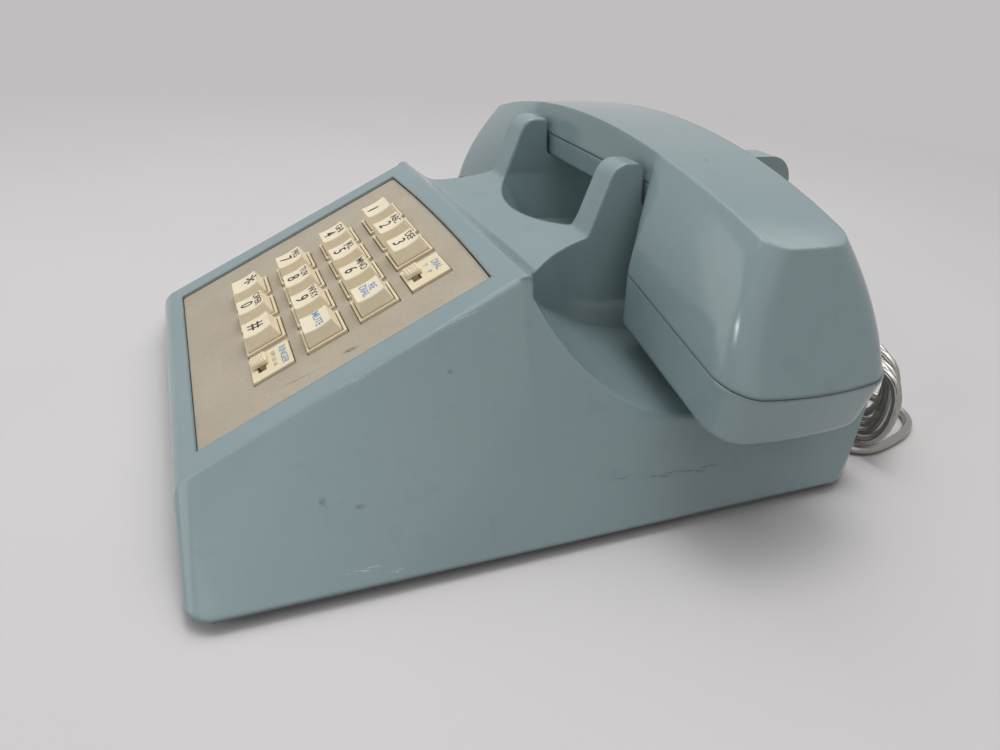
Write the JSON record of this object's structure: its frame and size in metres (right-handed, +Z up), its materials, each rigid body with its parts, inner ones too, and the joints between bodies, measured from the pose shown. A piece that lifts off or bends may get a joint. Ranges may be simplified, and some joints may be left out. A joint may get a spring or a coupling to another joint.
{
  "type": "push-button desk telephone",
  "caption": "Desk telephone: flared housing with a sloping push-button keypad, cradle ears holding a lift-off handset with hook plungers, slide switches, pan with feet and a line cord.",
  "frame": {"origin": "on the table, under the middle of the telephone's bounding box, the line cord left out", "axes": "+X to the telephone's right, +Y to its back, +Z up"},
  "size_m": [0.243, 0.2839, 0.1089],
  "materials": {
    "housing": "moulded gloss, lightly worn",
    "handset": "moulded gloss",
    "faceplate": "finely textured",
    "keys": "satin",
    "keypad_frame": "satin",
    "dark_plastic": "matte",
    "board": "solder mask",
    "rubber": "matte",
    "steel": "zinc plated",
    "contact": "rolled",
    "weight": "as cast",
    "cord": "ribbed, semi-gloss",
    "clear_plastic": "clear moulded plug"
  },
  "bodies": {
    "telephone_base": {"housing": "housing", "faceplate": "faceplate", "keypad_frame": "keypad_frame", "tone_switch": "dark_plastic", "ringer_switch": "dark_plastic", "key_mat": "rubber", "keypad_board": "board", "keypad_screws": "steel", "base_plate": "dark_plastic", "foot_front_left": "rubber", "foot_front_right": "rubber", "foot_rear_left": "rubber", "foot_rear_right": "rubber", "base_screws": "steel", "main_board": "board", "board_screws": "steel", "sounder": "dark_plastic", "hook_pin": "steel", "hook_bracket": "steel", "hook_switch": "dark_plastic", "hook_leaf": "contact", "line_jack": "dark_plastic", "handset_jack": "dark_plastic", "line_cord": "cord", "line_plug": "clear_plastic", "wall_plug": "clear_plastic"},
    "key_1_cap": {"key_1": "keys"},
    "key_2_cap": {"key_2": "keys"},
    "key_3_cap": {"key_3": "keys"},
    "key_4_cap": {"key_4": "keys"},
    "key_5_cap": {"key_5": "keys"},
    "key_6_cap": {"key_6": "keys"},
    "key_redial_cap": {"key_redial": "keys"},
    "key_7_cap": {"key_7": "keys"},
    "key_8_cap": {"key_8": "keys"},
    "key_9_cap": {"key_9": "keys"},
    "key_mute_cap": {"key_mute": "keys"},
    "key_star_cap": {"key_star": "keys"},
    "key_0_cap": {"key_0": "keys"},
    "key_hash_cap": {"key_hash": "keys"},
    "tone_knob": {"tone_slider": "keys"},
    "ringer_knob": {"ringer_slider": "keys"},
    "handset": {"handset_top_shell": "handset", "handset_bottom_shell": "handset", "receiver_capsule": "dark_plastic", "transmitter_capsule": "dark_plastic", "handset_weight": "weight", "handset_cord_jack": "dark_plastic", "handset_screws": "steel"},
    "hook_plungers": {"hook_plunger_left": "handset", "hook_plunger_right": "handset"},
    "hook_arm": {"hook_lever": "dark_plastic"}
  },
  "joints": [
    {"name": "key_1_press", "type": "slide", "parent": "telephone_base", "child": "key_1_cap", "axis": [0, 0.4695, -0.8829], "range_m": [0, 0.0022], "stiffness_N_per_m": 250},
    {"name": "key_2_press", "type": "slide", "parent": "telephone_base", "child": "key_2_cap", "axis": [0, 0.4695, -0.8829], "range_m": [0, 0.0022], "stiffness_N_per_m": 250},
    {"name": "key_3_press", "type": "slide", "parent": "telephone_base", "child": "key_3_cap", "axis": [0, 0.4695, -0.8829], "range_m": [0, 0.0022], "stiffness_N_per_m": 250},
    {"name": "key_4_press", "type": "slide", "parent": "telephone_base", "child": "key_4_cap", "axis": [0, 0.4695, -0.8829], "range_m": [0, 0.0022], "stiffness_N_per_m": 250},
    {"name": "key_5_press", "type": "slide", "parent": "telephone_base", "child": "key_5_cap", "axis": [0, 0.4695, -0.8829], "range_m": [0, 0.0022], "stiffness_N_per_m": 250},
    {"name": "key_6_press", "type": "slide", "parent": "telephone_base", "child": "key_6_cap", "axis": [0, 0.4695, -0.8829], "range_m": [0, 0.0022], "stiffness_N_per_m": 250},
    {"name": "key_redial_press", "type": "slide", "parent": "telephone_base", "child": "key_redial_cap", "axis": [0, 0.4695, -0.8829], "range_m": [0, 0.0022], "stiffness_N_per_m": 250},
    {"name": "key_7_press", "type": "slide", "parent": "telephone_base", "child": "key_7_cap", "axis": [0, 0.4695, -0.8829], "range_m": [0, 0.0022], "stiffness_N_per_m": 250},
    {"name": "key_8_press", "type": "slide", "parent": "telephone_base", "child": "key_8_cap", "axis": [0, 0.4695, -0.8829], "range_m": [0, 0.0022], "stiffness_N_per_m": 250},
    {"name": "key_9_press", "type": "slide", "parent": "telephone_base", "child": "key_9_cap", "axis": [0, 0.4695, -0.8829], "range_m": [0, 0.0022], "stiffness_N_per_m": 250},
    {"name": "key_mute_press", "type": "slide", "parent": "telephone_base", "child": "key_mute_cap", "axis": [0, 0.4695, -0.8829], "range_m": [0, 0.0022], "stiffness_N_per_m": 250},
    {"name": "key_star_press", "type": "slide", "parent": "telephone_base", "child": "key_star_cap", "axis": [0, 0.4695, -0.8829], "range_m": [0, 0.0022], "stiffness_N_per_m": 250},
    {"name": "key_0_press", "type": "slide", "parent": "telephone_base", "child": "key_0_cap", "axis": [0, 0.4695, -0.8829], "range_m": [0, 0.0022], "stiffness_N_per_m": 250},
    {"name": "key_hash_press", "type": "slide", "parent": "telephone_base", "child": "key_hash_cap", "axis": [0, 0.4695, -0.8829], "range_m": [0, 0.0022], "stiffness_N_per_m": 250},
    {"name": "tone_slide", "type": "slide", "parent": "telephone_base", "child": "tone_knob", "axis": [1, 0, 0], "range_m": [0, 0.004]},
    {"name": "ringer_slide", "type": "slide", "parent": "telephone_base", "child": "ringer_knob", "axis": [1, 0, 0], "range_m": [0, 0.004]},
    {"name": "handset_lift", "type": "slide", "parent": "telephone_base", "child": "handset", "axis": [0, 0, 1], "range_m": [0, 0.09]},
    {"name": "hook_rise", "type": "slide", "parent": "telephone_base", "child": "hook_plungers", "axis": [0, 0, 1], "range_m": [0, 0.005]},
    {"name": "hook_turn", "type": "hinge", "parent": "telephone_base", "child": "hook_arm", "pos_m": [0, 0.09, 0.045], "axis": [-1, 0, 0], "range_deg": [0, 8.6]}
  ],
  "couplings": [
    {"joint": "hook_rise", "follows": "handset_lift", "ratio": 0.055556},
    {"joint": "hook_turn", "follows": "handset_lift", "rad_per_m": 1.6678}
  ]
}
